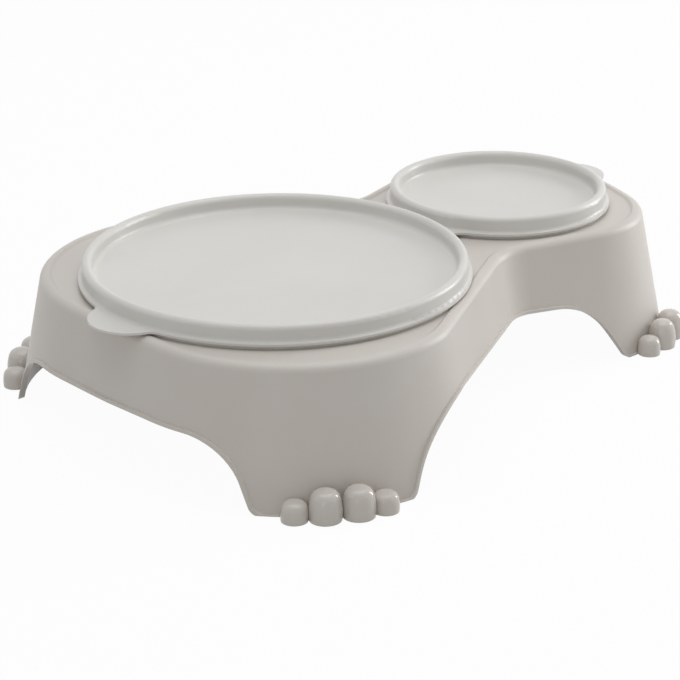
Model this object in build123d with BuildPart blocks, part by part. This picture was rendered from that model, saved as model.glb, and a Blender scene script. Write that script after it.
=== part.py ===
from build123d import *
import os
from math import atan2, cos, degrees, radians, sin, sqrt, tan

os.makedirs("parts", exist_ok=True)

# Double pet food bowl: a raised stand on four paws, two bowls hung in its deck and one lid over both.
# It is drawn about the axis of the large bowl, with the small bowl along +X. At the end the whole is
# moved so that the origin is on the floor under its middle. Sizes are in millimetres.

# Stand
stand_height = 71.5
rim_step = 1.0
rim_step_slope = 55.0
rim_width = 4.6
deck_thickness = 2.2
wall = 2.0
flare = 14.3
rim_rounding = 4.4
edge_lip_out = 1.2
edge_lip_height = 1.5

# Bowls
bowl_spacing = 166.2
large_rim_radius = 96.6
small_rim_radius = 57.5
rim_ring_width = 2.0
rim_ring_height = 10.5
flange_overhang = 2.8
flange_thickness = 1.7
bowl_wall = 2.0
rim_shelf = 1.8
hole_clearance = 0.6
large_floor_height = 20.0
small_floor_height = 28.0
bowl_side_angle = 17.0
large_inside_rounding = 14.0
small_inside_rounding = 10.0

# Lid
lid_thickness = 1.4
lip_thickness = 1.2
lid_clearance = 0.4
bead_wall = 1.2
lip_gap = 0.4
lip_overhang = 4.7
lid_recess = 8.0
bead_cove = 2.6
bead_foot_rounding = 1.6
web_rounding = 8.0
large_tab_radius = 22.0
large_tab_reach = 14.8
small_tab_radius = 19.5
small_tab_reach = 17.8
tab_rounding = 6.0

# Stand outline, measured out from the lid it goes round
end_margin = 3.9
side_margin = 17.8
corner_lean = 4.0
waist_past_lid = 9.8
waist_half_width = 56.8
small_corner_forward = 47.1
small_corner_margin = 24.4
small_end_margin = 17.6
end_radius = 213.0
large_corner_radius = 85.5
shoulder_radius = 63.0
waist_radius = 32.0
small_corner_radius = 51.0
small_end_radius = 86.0

# Arches between the legs
side_arch_start = -30.4
side_arch_past_small = 10.4
side_arch_rise = 40.8
side_arch_rise_small = 34.4
side_arch_lean = 19.0
side_arch_lean_small = 21.0
side_arch_radius = 51.0
side_arch_radius_small = 35.0
end_arch_rise = 34.5
large_end_arch_half_width = 93.2
small_end_arch_half_width = 46.0
end_arch_lean = 16.0
large_end_arch_radius = 34.0
small_end_arch_radius = 20.0
foot_corner_radius = 7.5

# Paws, with the angles of their middles on the corners of the stand
large_paw_angle = 240.4
small_paw_angle = 294.0
large_toe_pitch = 15.6
small_toe_pitch = 14.4
toe_places = (-1.4, -0.5, 0.5, 1.35)
large_inner_toe_radius = 8.3
large_outer_toe_radius = 6.8
small_inner_toe_radius = 7.7
small_outer_toe_radius = 6.3
inner_toe_height = 16.2
outer_toe_height = 11.1
inner_toe_middle = 4.6
outer_toe_middle = 3.2
toe_side_bend = 3.2
toe_crown_bend = 1.7
toe_shoulder_bend = 0.58
inner_toe_stand_out = 12.8
outer_toe_stand_out = 11.0

# Rubber feet, each pressed into a boss inside a leg
foot_radius = 5.5
foot_height = 6.0
foot_stem_radius = 2.6
foot_stem_length = 7.0
foot_stem_gap = 0.5
foot_rounding = 1.0
foot_fit = 0.1
foot_inset = 9.0
leg_clearance = 0.8
boss_height = 24.0
large_foot_angle = 247.0
small_foot_angle = 286.0

# Heights and radii that follow
deck_height = stand_height - rim_step
deck_underside = deck_height - deck_thickness
flange_top = deck_height + flange_thickness
ring_top = deck_height + rim_ring_height
crest_height = ring_top + lid_thickness
plate_top = crest_height - lid_recess
lip_bottom = flange_top + lip_gap
lip_top = lip_bottom + lip_thickness
channel_half_width = rim_ring_width / 2 + lid_clearance
bead_half_width = channel_half_width + bead_wall
large_lip_radius = large_rim_radius + lip_overhang
small_lip_radius = small_rim_radius + lip_overhang
flare_angle = degrees(atan2(flare, stand_height))
side_arch_end = bowl_spacing + side_arch_past_small
below = 20.0


def corner_turn(before, corner, after):
    """Directions out of a corner along its two sides, and the angle between them."""
    one = Vector(before[0] - corner[0], before[1] - corner[1])
    two = Vector(after[0] - corner[0], after[1] - corner[1])
    return one, two, one.get_angle(two)


def arc_centre(before, corner, after, radius):
    """Centre of the arc that rounds a corner."""
    one, two, angle = corner_turn(before, corner, after)
    middle = (one.normalized() + two.normalized()).normalized()
    return Vector(*corner) + middle * (radius / sin(radians(angle / 2)))


def fitting_radii(corners, radii):
    """The wanted radii, each limited by the shorter half of its two sides where they would meet."""
    count = len(corners)
    lengths = []
    for index in range(count):
        one, two, angle = corner_turn(corners[index - 1], corners[index], corners[(index + 1) % count])
        lengths.append(radii[index] / tan(radians(angle / 2)))
    fitted = []
    for index in range(count):
        one, two, angle = corner_turn(corners[index - 1], corners[index], corners[(index + 1) % count])
        before = lengths[index] + lengths[index - 1]
        after = lengths[index] + lengths[(index + 1) % count]
        share = min(1.0, 0.99 * one.length / before, 0.99 * two.length / after)
        fitted.append(radii[index] * share)
    return fitted


# Plan of the stand, one half of it at +Y from the large end to the small end
large_half_width = large_lip_radius + side_margin
large_end_x = -(large_lip_radius + end_margin)
small_corner = (bowl_spacing + small_corner_forward, small_lip_radius + small_corner_margin)
small_end = (bowl_spacing + small_lip_radius + small_end_margin, 0)
waist_corner = (large_lip_radius + waist_past_lid, waist_half_width)
large_corner = (large_end_x + corner_lean, large_half_width)
half_plan = [large_corner, (0, large_half_width), waist_corner, small_corner]
half_radii = [large_corner_radius, shoulder_radius, waist_radius, small_corner_radius]
plan_corners = [(large_end_x, 0)] + half_plan + [small_end] + [(x, -y) for x, y in reversed(half_plan)]
plan_radii = [end_radius] + half_radii + [small_end_radius] + half_radii[::-1]
plan_fitted = fitting_radii(plan_corners, plan_radii)


def plan_face(grow):
    """Adds the stand's plan to the sketch being built, grown outwards by an amount."""
    with BuildLine() as plan_line:
        FilletPolyline(*plan_corners, radius=plan_fitted, close=True)
    make_face(plan_line.edges())
    if grow:
        offset(amount=grow, mode=Mode.REPLACE)


def arch_face(left, right, floor_left, floor_right, left_radius, right_radius):
    """Adds an arch to the sketch being built: its top corners, its feet on the floor and its radii."""
    apron = 4 * foot_corner_radius
    corners = [
        (floor_left - apron, -below),
        (floor_left - apron, 0),
        (floor_left, 0),
        left,
        right,
        (floor_right, 0),
        (floor_right + apron, 0),
        (floor_right + apron, -below),
    ]
    foot_radii = 3 * [foot_corner_radius]
    radii = foot_radii + [left_radius, right_radius] + foot_radii
    with BuildLine() as arch_line:
        FilletPolyline(*corners, radius=fitting_radii(corners, radii), close=True)
    make_face(arch_line.edges())


def side_arch_face(grow):
    """Profile of the arch under the long sides, in the XZ plane."""
    arch_face(
        (side_arch_start + side_arch_lean, side_arch_rise),
        (side_arch_end - side_arch_lean_small, side_arch_rise_small),
        side_arch_start,
        side_arch_end,
        side_arch_radius,
        side_arch_radius_small,
    )
    if grow:
        offset(amount=grow, mode=Mode.REPLACE)


def end_arch_face(half_width, radius, grow):
    """Profile of the arch under one end, in the YZ plane."""
    top = half_width - end_arch_lean
    arch_face((-top, end_arch_rise), (top, end_arch_rise), -half_width, half_width, radius, radius)
    if grow:
        offset(amount=grow, mode=Mode.REPLACE)


def arch_cutters(grow):
    """The four arches as three long straight solids, grown by an amount."""
    reach = 3 * bowl_spacing
    with BuildPart() as side_arches:
        with BuildSketch(Plane.XZ):
            side_arch_face(grow)
        extrude(amount=reach, both=True)
    with BuildPart() as large_end_arch:
        with BuildSketch(Plane.YZ.offset(-large_rim_radius / 2)):
            end_arch_face(large_end_arch_half_width, large_end_arch_radius, grow)
        extrude(amount=-reach)
    with BuildPart() as small_end_arch:
        with BuildSketch(Plane.YZ.offset(bowl_spacing + small_rim_radius / 2)):
            end_arch_face(small_end_arch_half_width, small_end_arch_radius, grow)
        extrude(amount=reach)
    return [side_arches.part, large_end_arch.part, small_end_arch.part]


def wall_offset(height):
    """How far the outside of the wall stands out from the plan at a height."""
    return flare * (stand_height - height) / stand_height


# Centres of the stand's two corner arcs on the -Y side, which the paws and feet go round
large_arc = arc_centre(plan_corners[-2], plan_corners[-1], plan_corners[0], plan_fitted[-1])
small_arc = arc_centre(plan_corners[5], plan_corners[6], plan_corners[7], plan_fitted[6])
large_base_radius = plan_fitted[-1] + flare
small_base_radius = plan_fitted[6] + flare


def paw_place(centre, radius, angle, side):
    """A point on an arc of the stand and its outward direction, at -Y or mirrored to +Y."""
    outward = Vector(cos(radians(angle)), side * sin(radians(angle)))
    return Vector(centre.X, side * centre.Y) + outward * radius, outward


paws = []
feet = []
for side in (1, -1):
    large_toes = (large_inner_toe_radius, large_outer_toe_radius, large_toe_pitch)
    small_toes = (small_inner_toe_radius, small_outer_toe_radius, small_toe_pitch)
    paws.append((large_arc, large_base_radius, large_paw_angle, large_toes, side))
    paws.append((small_arc, small_base_radius, small_paw_angle, small_toes, side))
    feet.append(paw_place(large_arc, large_base_radius - foot_inset, large_foot_angle, side)[0])
    feet.append(paw_place(small_arc, small_base_radius - foot_inset, small_foot_angle, side)[0])

# The hollow under the deck, inside the walls
with BuildPart() as hollow:
    with BuildSketch(Plane.XY.offset(deck_underside)):
        plan_face(wall_offset(deck_underside) - wall)
    extrude(amount=-(deck_underside + below), taper=-flare_angle)
    fillet(hollow.edges().group_by(Axis.Z)[-1], rim_rounding / 2)

# A thin lip that stands out along the whole lower edge, round the arches and the feet
with BuildPart() as edge_lip:
    with BuildSketch(Plane.XY):
        plan_face(flare + edge_lip_out)
    extrude(amount=max(side_arch_rise, end_arch_rise) + 2 * edge_lip_height, taper=flare_angle)
    add(hollow.part, mode=Mode.SUBTRACT)

with BuildPart() as floor_zone:
    with BuildSketch(Plane.XY):
        Rectangle(4 * bowl_spacing, 4 * bowl_spacing)
    extrude(amount=edge_lip_height)

edge_zones = [floor_zone.part] + arch_cutters(edge_lip_height)


def toe_profile(toe_radius, toe_height, toe_middle):
    """Half section of a toe: a side widest at its middle, a round shoulder and a flatter crown."""
    side = toe_side_bend * toe_radius
    crown = toe_crown_bend * toe_radius
    shoulder = toe_shoulder_bend * toe_radius
    side_centre = Vector(toe_radius - side, toe_middle)
    crown_centre = Vector(0, toe_height - crown)
    gap = (crown_centre - side_centre).length
    toward = (crown_centre - side_centre).normalized()
    along = ((side - shoulder) ** 2 - (crown - shoulder) ** 2 + gap**2) / (2 * gap)
    across = sqrt((side - shoulder) ** 2 - along**2)
    centre = side_centre + toward * along + Vector(-toward.Y, toward.X) * across
    side_end = side_centre + (centre - side_centre).normalized() * side
    crown_end = crown_centre + (centre - crown_centre).normalized() * crown
    shoulder_middle = centre + ((side_end + crown_end) * 0.5 - centre).normalized() * shoulder
    crown_middle = crown_centre + (crown_end - crown_centre + Vector(0, crown)).normalized() * crown
    foot_width = side_centre.X + sqrt(side**2 - toe_middle**2)
    with BuildLine() as section:
        Polyline((0, toe_height), (0, 0), (foot_width, 0))
        ThreePointArc((foot_width, 0), (toe_radius, toe_middle), side_end)
        ThreePointArc(side_end, shoulder_middle, crown_end)
        ThreePointArc(crown_end, crown_middle, (0, toe_height))
    make_face(section.edges())


# Four plump toes on each paw, flush with the hollow behind them
with BuildPart() as toes:
    for centre, radius, angle, (inner_radius, outer_radius, pitch), side in paws:
        for place in toe_places:
            inner = abs(place) < 1
            toe_radius = inner_radius if inner else outer_radius
            toe_height = inner_toe_height if inner else outer_toe_height
            toe_middle = inner_toe_middle if inner else outer_toe_middle
            stand_out = inner_toe_stand_out if inner else outer_toe_stand_out
            toe_angle = angle + degrees(place * pitch / radius)
            spot, outward = paw_place(centre, radius + stand_out - toe_radius, toe_angle, side)
            with BuildSketch(Plane(origin=spot, x_dir=outward, z_dir=(outward.Y, -outward.X, 0))):
                toe_profile(toe_radius, toe_height, toe_middle)
            revolve(axis=Axis(spot, (0, 0, 1)))
    add(hollow.part, mode=Mode.SUBTRACT)

# Bosses that hold the rubber feet, cut to the slope of the walls
with BuildPart() as bosses:
    with BuildSketch(Plane.XY.offset(foot_height)):
        with Locations(*feet):
            Circle(foot_radius)
    extrude(amount=boss_height - foot_height)
    add(hollow.part, mode=Mode.INTERSECT)
    with BuildSketch(Plane.XY.offset(foot_height)):
        with Locations(*feet):
            Circle(foot_stem_radius + foot_fit)
    extrude(amount=foot_stem_length + foot_stem_gap, mode=Mode.SUBTRACT)

open_arches = arch_cutters(0)
large_wall_radius = large_rim_radius - rim_ring_width / 2 - rim_shelf + bowl_wall
small_wall_radius = small_rim_radius - rim_ring_width / 2 - rim_shelf + bowl_wall

with BuildPart() as stand:
    with BuildSketch(Plane.XY.offset(stand_height)):
        plan_face(0)
    extrude(amount=-stand_height, taper=-flare_angle)
    fillet(stand.edges().group_by(Axis.Z)[-1], rim_rounding)
    with BuildSketch(Plane.XY.offset(stand_height)):
        plan_face(-rim_width)
    extrude(amount=-rim_step, taper=rim_step_slope, mode=Mode.SUBTRACT)
    add(hollow.part, mode=Mode.SUBTRACT)
    for zone in edge_zones:
        add(edge_lip.part.intersect(zone))
    for arch in open_arches:
        add(arch, mode=Mode.SUBTRACT)
    add(toes.part)
    add(bosses.part)
    with BuildSketch(Plane.XY.offset(stand_height)):
        Circle(large_rim_radius + flange_overhang + hole_clearance)
        with Locations((bowl_spacing, 0)):
            Circle(small_rim_radius + flange_overhang + hole_clearance)
    extrude(amount=-rim_step, mode=Mode.SUBTRACT)
    with BuildSketch(Plane.XY.offset(stand_height)):
        Circle(large_wall_radius + hole_clearance)
        with Locations((bowl_spacing, 0)):
            Circle(small_wall_radius + hole_clearance)
    extrude(amount=-(stand_height - deck_underside + hole_clearance), mode=Mode.SUBTRACT)
    with BuildSketch(Plane.XY.offset(leg_clearance)):
        Rectangle(4 * bowl_spacing, 4 * bowl_spacing)
    extrude(amount=-below, mode=Mode.SUBTRACT)
stand.part.label = "stand"


def bowl_profile(rim_radius, floor_height, rounding):
    """Half section of a bowl in the XZ plane: ring, flange, sloping side and flat floor."""
    ring_inside = rim_radius - rim_ring_width / 2
    ring_outside = rim_radius + rim_ring_width / 2
    side_inside = ring_inside - rim_shelf
    side_outside = side_inside + bowl_wall
    depth = flange_top - floor_height - bowl_wall
    floor_inside = side_inside - depth * tan(radians(bowl_side_angle))
    floor_outside = floor_inside + bowl_wall / cos(radians(bowl_side_angle))
    inside_corner = (floor_inside, floor_height + bowl_wall)
    outside_corner = (floor_outside - bowl_wall * tan(radians(bowl_side_angle)), floor_height)
    with BuildLine() as section:
        Polyline(
            (0, floor_height),
            outside_corner,
            (side_outside, deck_height),
            (rim_radius + flange_overhang, deck_height),
            (rim_radius + flange_overhang, flange_top),
            (ring_outside, flange_top),
            (ring_outside, ring_top),
            (ring_inside, ring_top),
            (ring_inside, flange_top),
            (side_inside, flange_top),
            inside_corner,
            (0, floor_height + bowl_wall),
            close=True,
        )
    make_face(section.edges())
    fillet(vertices().sort_by_distance(inside_corner)[0], rounding)
    fillet(vertices().sort_by_distance(outside_corner)[0], rounding + bowl_wall)


with BuildPart() as large_bowl:
    with BuildSketch(Plane.XZ):
        bowl_profile(large_rim_radius, large_floor_height, large_inside_rounding)
    revolve(axis=Axis.Z)
large_bowl.part.label = "large_bowl"

with BuildPart() as small_bowl:
    with BuildSketch(Plane.XZ.move(Location((bowl_spacing, 0, 0)))):
        bowl_profile(small_rim_radius, small_floor_height, small_inside_rounding)
    revolve(axis=Axis((bowl_spacing, 0, 0), (0, 0, 1)))
small_bowl.part.label = "small_bowl"


def join_face(first_x, first_radius, second_x, second_radius, rounding):
    """Adds a neck between two discs on the X axis, with a hollow arc tangent to both on each side."""
    gap = abs(second_x - first_x)
    to_first = first_radius + rounding
    to_second = second_radius + rounding
    along = (to_first**2 - to_second**2 + gap**2) / (2 * gap)
    across = sqrt(to_first**2 - along**2)
    arc_x = first_x + along * (1 if second_x > first_x else -1)
    with BuildSketch(mode=Mode.PRIVATE) as neck:
        with BuildLine():
            Polyline((first_x, 0), (arc_x, across), (second_x, 0), (arc_x, -across), close=True)
        make_face()
        with Locations((arc_x, across), (arc_x, -across)):
            Circle(rounding, mode=Mode.SUBTRACT)
    add(neck.sketch_local)


def rim_profile(rim_radius):
    """Half section of the lid over one bowl: flat plate, cove, round bead over the ring and its foot."""
    inside = rim_radius - bead_half_width
    outside = rim_radius + bead_half_width
    channel_inside = rim_radius - channel_half_width
    channel_outside = rim_radius + channel_half_width
    spring_height = crest_height - bead_half_width
    foot_edge = outside + bead_foot_rounding
    with BuildLine() as section:
        Polyline((0, plate_top - lid_thickness), (0, plate_top), (inside - bead_cove, plate_top))
        RadiusArc((inside - bead_cove, plate_top), (inside, plate_top + bead_cove), -bead_cove)
        Line((inside, plate_top + bead_cove), (inside, spring_height))
        ThreePointArc((inside, spring_height), (rim_radius, crest_height), (outside, spring_height))
        Line((outside, spring_height), (outside, lip_top + bead_foot_rounding))
        RadiusArc((outside, lip_top + bead_foot_rounding), (foot_edge, lip_top), -bead_foot_rounding)
        Polyline(
            (foot_edge, lip_top),
            (foot_edge, lip_bottom),
            (channel_outside, lip_bottom),
            (channel_outside, ring_top),
            (channel_inside, ring_top),
            (channel_inside, plate_top - lid_thickness),
            (0, plate_top - lid_thickness),
        )
    make_face(section.edges())


# One lid over both bowls: a thin sheet with a tab at each end, and a channel round each bowl
with BuildPart() as double_lid:
    with BuildSketch(Plane.XY.offset(lip_bottom)):
        Circle(large_lip_radius)
        large_tab_x = -(large_lip_radius + large_tab_reach - large_tab_radius)
        small_tab_x = bowl_spacing + small_lip_radius + small_tab_reach - small_tab_radius
        with Locations((bowl_spacing, 0)):
            Circle(small_lip_radius)
        with Locations((large_tab_x, 0)):
            Circle(large_tab_radius)
        with Locations((small_tab_x, 0)):
            Circle(small_tab_radius)
        join_face(0, large_lip_radius, bowl_spacing, small_lip_radius, web_rounding)
        join_face(0, large_lip_radius, large_tab_x, large_tab_radius, tab_rounding)
        join_face(bowl_spacing, small_lip_radius, small_tab_x, small_tab_radius, tab_rounding)
        Circle(large_rim_radius + channel_half_width, mode=Mode.SUBTRACT)
        with Locations((bowl_spacing, 0)):
            Circle(small_rim_radius + channel_half_width, mode=Mode.SUBTRACT)
    extrude(amount=lip_thickness)
    with BuildSketch(Plane.XZ):
        rim_profile(large_rim_radius)
    revolve(axis=Axis.Z)
    with BuildSketch(Plane.XZ.move(Location((bowl_spacing, 0, 0)))):
        rim_profile(small_rim_radius)
    revolve(axis=Axis((bowl_spacing, 0, 0), (0, 0, 1)))
double_lid.part.label = "double_lid"

foot_names = ["foot_front_large", "foot_front_small", "foot_rear_large", "foot_rear_small"]
foot_parts = []
for name, place in zip(foot_names, feet):
    with BuildPart() as foot:
        with BuildSketch(Plane.XY):
            with Locations(place):
                Circle(foot_radius)
        extrude(amount=foot_height)
        fillet(foot.edges().group_by(Axis.Z)[0], foot_rounding)
        with BuildSketch(Plane.XY.offset(foot_height)):
            with Locations(place):
                Circle(foot_stem_radius)
        extrude(amount=foot_stem_length)
    foot.part.label = name
    foot_parts.append(foot.part)

# The finished pieces, moved so that the middle of the whole is over the origin
pieces = [stand.part, large_bowl.part, small_bowl.part, double_lid.part] + foot_parts
left = min(piece.bounding_box().min.X for piece in pieces)
right = max(piece.bounding_box().max.X for piece in pieces)
for piece in pieces:
    placed = piece.moved(Location((-(left + right) / 2, 0, 0)))
    placed.label = piece.label
    export_step(placed, f"parts/{piece.label}.step")
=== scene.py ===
import math
import bpy
from mathutils import Matrix, Vector

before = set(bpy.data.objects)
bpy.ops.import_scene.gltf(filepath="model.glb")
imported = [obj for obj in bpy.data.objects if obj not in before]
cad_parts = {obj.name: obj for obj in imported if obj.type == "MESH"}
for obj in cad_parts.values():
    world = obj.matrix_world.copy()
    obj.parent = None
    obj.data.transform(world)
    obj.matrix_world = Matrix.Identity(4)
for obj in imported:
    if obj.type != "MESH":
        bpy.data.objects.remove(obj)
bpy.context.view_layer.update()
bpy.ops.object.select_all(action="DESELECT")
print("frame loaded:", ", ".join(sorted(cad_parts)))


class Wire:
    # one output of a material's node tree; an expression on wires adds its Math nodes
    def __init__(self, maker, socket):
        self.maker, self.socket = maker, socket

    def __add__(self, other): return self.maker.maths("ADD", self, other)
    def __radd__(self, other): return self.maker.maths("ADD", other, self)
    def __sub__(self, other): return self.maker.maths("SUBTRACT", self, other)
    def __rsub__(self, other): return self.maker.maths("SUBTRACT", other, self)
    def __mul__(self, other): return self.maker.maths("MULTIPLY", self, other)
    def __rmul__(self, other): return self.maker.maths("MULTIPLY", other, self)
    def __truediv__(self, other): return self.maker.maths("DIVIDE", self, other)
    def __rtruediv__(self, other): return self.maker.maths("DIVIDE", other, self)
    def __pow__(self, other): return self.maker.maths("POWER", self, other)


class Finish:
    # a material being made, with its Principled shader and the object's own coordinates
    def __init__(self, name, shader):
        self.material = bpy.data.materials.new(name)
        self.material.use_nodes = True
        self.tree = self.material.node_tree
        self.shader = self.tree.nodes["Principled BSDF"]
        for socketName, value in shader.items():
            self.shader.inputs[socketName].default_value = value
        self.place = self.node("ShaderNodeTexCoord").outputs["Object"]

    def feed(self, socket, value):
        # a wire or another node's output is linked to the socket, a number or colour is set on it
        if isinstance(value, Wire):
            self.tree.links.new(value.socket, socket)
        elif isinstance(value, bpy.types.NodeSocket):
            self.tree.links.new(value, socket)
        else:
            socket.default_value = value

    def vary(self, socketName, value):
        # what changes over the surface, into the shader
        self.feed(self.shader.inputs[socketName], value)

    def node(self, kind, settings=None, stops=None, sockets=None):
        made = self.tree.nodes.new(kind)
        for key, value in (settings or {}).items():
            setattr(made, key, value)
        if stops:
            ramp = made.color_ramp
            while len(ramp.elements) < len(stops):
                ramp.elements.new(0.5)
            for element, (position, level) in zip(ramp.elements, stops):
                element.position = position
                element.color = (level, level, level, 1)
        for key, value in (sockets or {}).items():
            self.feed(made.inputs[key], value)
        return made

    def maths(self, operation, *values):
        made = self.node("ShaderNodeMath", {"operation": operation}, sockets=dict(enumerate(values)))
        return Wire(self, made.outputs[0])

    def noise(self, size, detail, stretch=(1, 1, 1)):
        # size is that of one blotch in metres; the result is about 0 in the middle, from -0.5 to 0.5
        mapped = self.node("ShaderNodeMapping", sockets={"Vector": self.place, "Scale": stretch})
        made = self.node("ShaderNodeTexNoise", sockets={
            "Vector": mapped.outputs[0], "Scale": 1 / size, "Detail": detail, "Roughness": 0.55})
        return Wire(self, made.outputs["Fac"]) - 0.5

    def ramp(self, value, *stops):
        made = self.node("ShaderNodeValToRGB", stops=stops, sockets={"Fac": value})
        return Wire(self, made.outputs["Color"])

    def blend(self, factor, first, second):
        made = self.node("ShaderNodeMix", {"data_type": "RGBA", "clamp_factor": True},
                         sockets={"Factor": factor, 6: first, 7: second})
        return Wire(self, made.outputs[2])

    def bump(self, height, distance, strength, under=None):
        sockets = {"Height": height, "Distance": distance, "Strength": strength}
        if under is not None:
            sockets["Normal"] = under
        made = self.node("ShaderNodeBump", sockets=sockets)
        return Wire(self, made.outputs[0])


def tone(red, green, blue):
    # a colour as it reads on a screen, 0 to 255, made linear
    def linear(value):
        value = value / 255
        return value / 12.92 if value < 0.04045 else ((value + 0.055) / 1.055) ** 2.4
    return (linear(red), linear(green), linear(blue), 1)


def dress(obj, finish):
    obj.data.materials.clear()
    obj.data.materials.append(finish.material)


# the stand's plastic: satin, finely grained, with painted shade darkening it near the floor, and polished
# toes
standLook = {
    "light": tone(213, 208, 202),
    "dark": tone(206, 200, 193),
    "paintedFloorShade": tone(192, 186, 179),
    "paintedShadeTop": 0.03,  # height at which the painted shade near the floor fades out
    "paintedShadeShare": 0.25,
    "blotchSize": 0.07,
    "blotchMix": 1.6,
    "blotchRough": 0.10,
    "grainSize": 0.0007,
    "grainMix": 0.5,
    "grainRough": 0.06,
    "grainDepth": 0.00003,
    "waveSize": 0.035,  # slow unevenness of the moulded walls
    "waveDepth": 0.0003,
    "waveStrength": 0.35,
    "roughness": 0.42,
    "toeRoughness": 0.13,
    "toeTop": 0.018,  # height that the toes stay under
    "toeEdge": 0.001,  # width over which the polish starts
    "lean": 0.2,  # how far the walls lean out for each metre down
    "lipPast": 0.0014,  # what stands out further than the lower edge's lip is a toe
    "pawReach": 0.034,
}
pawPlaces = {  # middle and radius of the stand's corner at floor height, and middle of its paw, at +Y
    "large": {"corner": (-0.0848, 0.0336), "radius": 0.0998, "paw": (-0.1341, 0.1204)},
    "small": {"corner": (0.1160, 0.0244), "radius": 0.0653, "paw": (0.1425, 0.0841)},
}

standPlastic = Finish("standPlastic", {"IOR": 1.48, "Specular IOR Level": 0.5})
blotch = standPlastic.noise(standLook["blotchSize"], 3)
grain = standPlastic.noise(standLook["grainSize"], 2)
wave = standPlastic.noise(standLook["waveSize"], 1)
axes = standPlastic.node("ShaderNodeSeparateXYZ", sockets={0: standPlastic.place})
along, across, height = (Wire(standPlastic, axes.outputs[axis]) for axis in "XYZ")
across = standPlastic.maths("ABSOLUTE", across)
# painted shade: 1 at the floor, fading to 0 at the height given above
low = standPlastic.ramp(height / standLook["paintedShadeTop"], (0.0, 1.0), (1.0, 0.0))


def distanceTo(spot):
    return ((along - spot[0]) ** 2 + (across - spot[1]) ** 2) ** 0.5


toes = 0
for pawPlace in pawPlaces.values():
    wallRadius = pawPlace["radius"] - height * standLook["lean"]
    standOut = distanceTo(pawPlace["corner"]) - wallRadius - standLook["lipPast"]
    nearPaw = standPlastic.maths("LESS_THAN", distanceTo(pawPlace["paw"]), standLook["pawReach"])
    toes = toes + standPlastic.ramp(standOut / standLook["toeEdge"], (0.0, 0.0), (1.0, 1.0)) * nearPaw
toes = toes * standPlastic.maths("LESS_THAN", height, standLook["toeTop"])
mottle = standPlastic.blend(blotch * standLook["blotchMix"] + grain * standLook["grainMix"] + 0.5,
                            standLook["dark"], standLook["light"])
# painted shade: the colour is blended towards a darker tone near the floor
standPlastic.vary("Base Color",
                  standPlastic.blend(low * standLook["paintedShadeShare"], mottle, standLook["paintedFloorShade"]))
standPlastic.vary("Roughness",
                  blotch * standLook["blotchRough"] + grain * standLook["grainRough"] + standLook["roughness"]
                  + toes * (standLook["toeRoughness"] - standLook["roughness"]))
fine = standPlastic.bump(grain, standLook["grainDepth"], 0.5)
standPlastic.vary("Normal",
                  standPlastic.bump(wave, standLook["waveDepth"], standLook["waveStrength"], fine))
dress(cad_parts["stand"], standPlastic)

# the lid's plastic: whiter and smoother than the stand's, lightly scuffed
lidLook = {
    "light": tone(224, 223, 219),
    "dark": tone(217, 215, 210),
    "blotchSize": 0.06,
    "blotchMix": 1.5,
    "blotchRough": 0.06,
    "grainSize": 0.0009,
    "grainMix": 0.3,
    "grainDepth": 0.00002,
    "grainStrength": 0.15,
    "scuffSize": 0.012,
    "scuffStretch": (1, 9, 1),
    "scuffRough": 0.12,
    "roughness": 0.33,
}

lidPlastic = Finish("lidPlastic", {"IOR": 1.5, "Specular IOR Level": 0.5})
blotch = lidPlastic.noise(lidLook["blotchSize"], 3)
grain = lidPlastic.noise(lidLook["grainSize"], 2)
scuff = lidPlastic.noise(lidLook["scuffSize"], 4, lidLook["scuffStretch"])
lidPlastic.vary("Base Color",
                lidPlastic.blend(blotch * lidLook["blotchMix"] + grain * lidLook["grainMix"] + 0.5,
                                 lidLook["dark"], lidLook["light"]))
lidPlastic.vary("Roughness",
                scuff * lidLook["scuffRough"] + blotch * lidLook["blotchRough"] + lidLook["roughness"])
lidPlastic.vary("Normal", lidPlastic.bump(grain, lidLook["grainDepth"], lidLook["grainStrength"]))
dress(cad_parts["double_lid"], lidPlastic)

# the bowls' plastic: glossy, with fine rings left by washing
bowlLook = {
    "light": tone(214, 212, 207),
    "dark": tone(204, 201, 195),
    "blotchSize": 0.05,
    "blotchMix": 1.5,
    "ringSize": 0.006,
    "ringStretch": (1, 1, 12),
    "ringRough": 0.14,
    "ringDepth": 0.00002,
    "ringStrength": 0.3,
    "roughness": 0.2,
}

bowlPlastic = Finish("bowlPlastic", {"IOR": 1.5, "Specular IOR Level": 0.5})
blotch = bowlPlastic.noise(bowlLook["blotchSize"], 3)
ring = bowlPlastic.noise(bowlLook["ringSize"], 4, bowlLook["ringStretch"])
bowlPlastic.vary("Base Color",
                 bowlPlastic.blend(blotch * bowlLook["blotchMix"] + 0.5, bowlLook["dark"], bowlLook["light"]))
bowlPlastic.vary("Roughness", ring * bowlLook["ringRough"] + bowlLook["roughness"])
bowlPlastic.vary("Normal", bowlPlastic.bump(ring, bowlLook["ringDepth"], bowlLook["ringStrength"]))
for bowlName in ("large_bowl", "small_bowl"):
    dress(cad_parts[bowlName], bowlPlastic)

# the feet's rubber: dark, dull and dusty
rubberLook = {
    "fresh": tone(52, 44, 39),
    "dusty": tone(78, 68, 60),
    "dustSize": 0.004,
    "dustMix": 1.4,
    "dustShare": 0.45,
    "dustRough": 0.2,
    "grainSize": 0.0006,
    "grainDepth": 0.0001,
    "grainStrength": 0.6,
    "roughness": 0.72,
}

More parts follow.
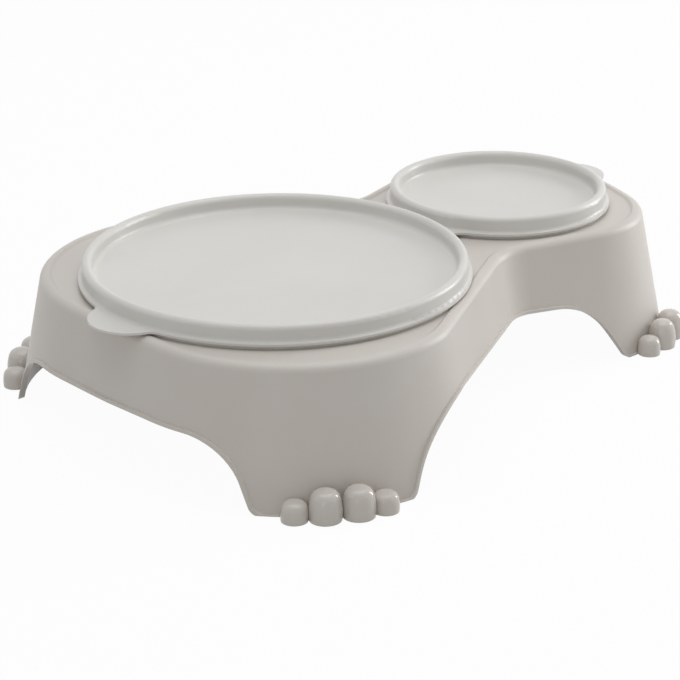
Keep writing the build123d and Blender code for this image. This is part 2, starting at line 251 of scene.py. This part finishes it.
footRubber = Finish("footRubber", {"IOR": 1.45, "Specular IOR Level": 0.35})
dust = footRubber.noise(rubberLook["dustSize"], 4)
grain = footRubber.noise(rubberLook["grainSize"], 2)
footRubber.vary("Base Color",
                footRubber.blend(dust * rubberLook["dustMix"] + rubberLook["dustShare"],
                                 rubberLook["fresh"], rubberLook["dusty"]))
footRubber.vary("Roughness", dust * rubberLook["dustRough"] + rubberLook["roughness"])
footRubber.vary("Normal", footRubber.bump(grain, rubberLook["grainDepth"], rubberLook["grainStrength"]))
for footName in ("foot_front_large", "foot_front_small", "foot_rear_large", "foot_rear_small"):
    dress(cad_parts[footName], footRubber)
print("finishes made")

# the floor: pale, shown nearly white to the camera, with the shadow kept faint
floorLook = {
    "half": 6.0,
    "light": (0.80, 0.79, 0.77, 1),
    "dark": (0.76, 0.75, 0.73, 1),
    "blotchSize": 0.5,
    "whitening": 0.96,
}
bpy.ops.mesh.primitive_plane_add(size=2 * floorLook["half"], location=(0, 0, 0))
floor = bpy.context.object
floor.name = "floor"
floorPaint = Finish("floorPaint", {"Roughness": 0.9, "Specular IOR Level": 0.0})
blotch = floorPaint.noise(floorLook["blotchSize"], 2)
floorPaint.vary("Base Color", floorPaint.blend(blotch + 0.5, floorLook["dark"], floorLook["light"]))
path = floorPaint.node("ShaderNodeLightPath")
direct = path.outputs["Is Camera Ray"]
for rayName in ("Is Glossy Ray", "Is Transmission Ray"):
    direct = floorPaint.maths("MAXIMUM", direct, path.outputs[rayName])
white = floorPaint.node("ShaderNodeEmission", sockets={"Color": (1, 1, 1, 1), "Strength": 1.0})
shown = floorPaint.node("ShaderNodeMixShader", sockets={
    0: direct * floorLook["whitening"], 1: floorPaint.shader.outputs[0], 2: white.outputs[0]})
floorPaint.feed(floorPaint.tree.nodes["Material Output"].inputs["Surface"], shown.outputs[0])
dress(floor, floorPaint)
bpy.ops.object.select_all(action="DESELECT")

# light: a tall strip low on the right, a small window by the camera, soft lamps overhead and left
lamps = {
    "right": {"at": (1.30, -0.42, 0.42), "size": (0.28, 0.8), "power": 7.8},
    "window": {"at": (-1.25, -0.80, 0.20), "size": (0.16, 0.3), "power": 0.6},
    "top": {"at": (0.1, 0.0, 1.7), "size": (1.6, 1.6), "power": 13},
    "left": {"at": (-1.5, 0.5, 0.8), "size": (1.0, 1.0), "power": 0.7},
}
aim = Vector((0, 0, 0.04))
for lampName, lamp in lamps.items():
    bpy.ops.object.light_add(type="AREA", location=lamp["at"])
    made = bpy.context.object
    made.name = lampName + "Lamp"
    made.data.shape = "RECTANGLE"
    made.data.size, made.data.size_y = lamp["size"]
    made.data.energy = lamp["power"]
    made.rotation_euler = (aim - Vector(lamp["at"])).to_track_quat("-Z", "Y").to_euler()
bpy.ops.object.select_all(action="DESELECT")

# the room: a soft fill on the object, white where the camera, a reflection or a glass ray sees it
skyLook = {"fill": 0.37, "seen": 1.0}
sky = bpy.data.worlds.new("studio")
sky.use_nodes = True
bpy.context.scene.world = sky
skyTree = sky.node_tree
back = skyTree.nodes["Background"]
back.inputs["Color"].default_value = (1, 1, 1, 1)
path = skyTree.nodes.new("ShaderNodeLightPath")
direct = path.outputs["Is Camera Ray"]
for rayName in ("Is Glossy Ray", "Is Transmission Ray"):
    either = skyTree.nodes.new("ShaderNodeMath")
    either.operation = "MAXIMUM"
    skyTree.links.new(direct, either.inputs[0])
    skyTree.links.new(path.outputs[rayName], either.inputs[1])
    direct = either.outputs[0]
level = skyTree.nodes.new("ShaderNodeMapRange")
level.inputs["To Min"].default_value = skyLook["fill"]
level.inputs["To Max"].default_value = skyLook["seen"]
skyTree.links.new(direct, level.inputs["Value"])
skyTree.links.new(level.outputs[0], back.inputs["Strength"])
print("floor and light set")

# the camera, placed as the photograph was taken; lengths on the picture are in its pixels
eye = {
    "azimuth": math.radians(-43.114),
    "elevation": math.radians(22.33),
    "roll": math.radians(-0.23),
    "distance": 1.11657,
    "target": Vector((-0.11442, -0.09994, 0.078)),
    "focal": 2362.55,
    "frameWidth": 680,
    "centre": (340.44, 339.95),
    "sensor": 36.0,
    "clip": (0.05, 30),
}
backward = Vector((
    math.sin(eye["azimuth"]) * math.cos(eye["elevation"]),
    -math.cos(eye["azimuth"]) * math.cos(eye["elevation"]),
    math.sin(eye["elevation"]),
))
cameraData = bpy.data.cameras.new("photoCamera")
camera = bpy.data.objects.new("photoCamera", cameraData)
bpy.context.scene.collection.objects.link(camera)
cameraData.sensor_width = eye["sensor"]
cameraData.lens = eye["focal"] / eye["frameWidth"] * eye["sensor"]
cameraData.shift_x = (eye["frameWidth"] / 2 - eye["centre"][0]) / eye["frameWidth"]
cameraData.shift_y = (eye["centre"][1] - eye["frameWidth"] / 2) / eye["frameWidth"]
cameraData.clip_start, cameraData.clip_end = eye["clip"]
camera.location = eye["target"] + backward * eye["distance"]
camera.rotation_mode = "QUATERNION"
upright = (-backward).to_track_quat("-Z", "Y")
camera.rotation_quaternion = upright @ Matrix.Rotation(eye["roll"], 4, "Z").to_quaternion()
bpy.context.scene.camera = camera
bpy.context.scene.view_settings.view_transform = "Standard"
print("camera set")
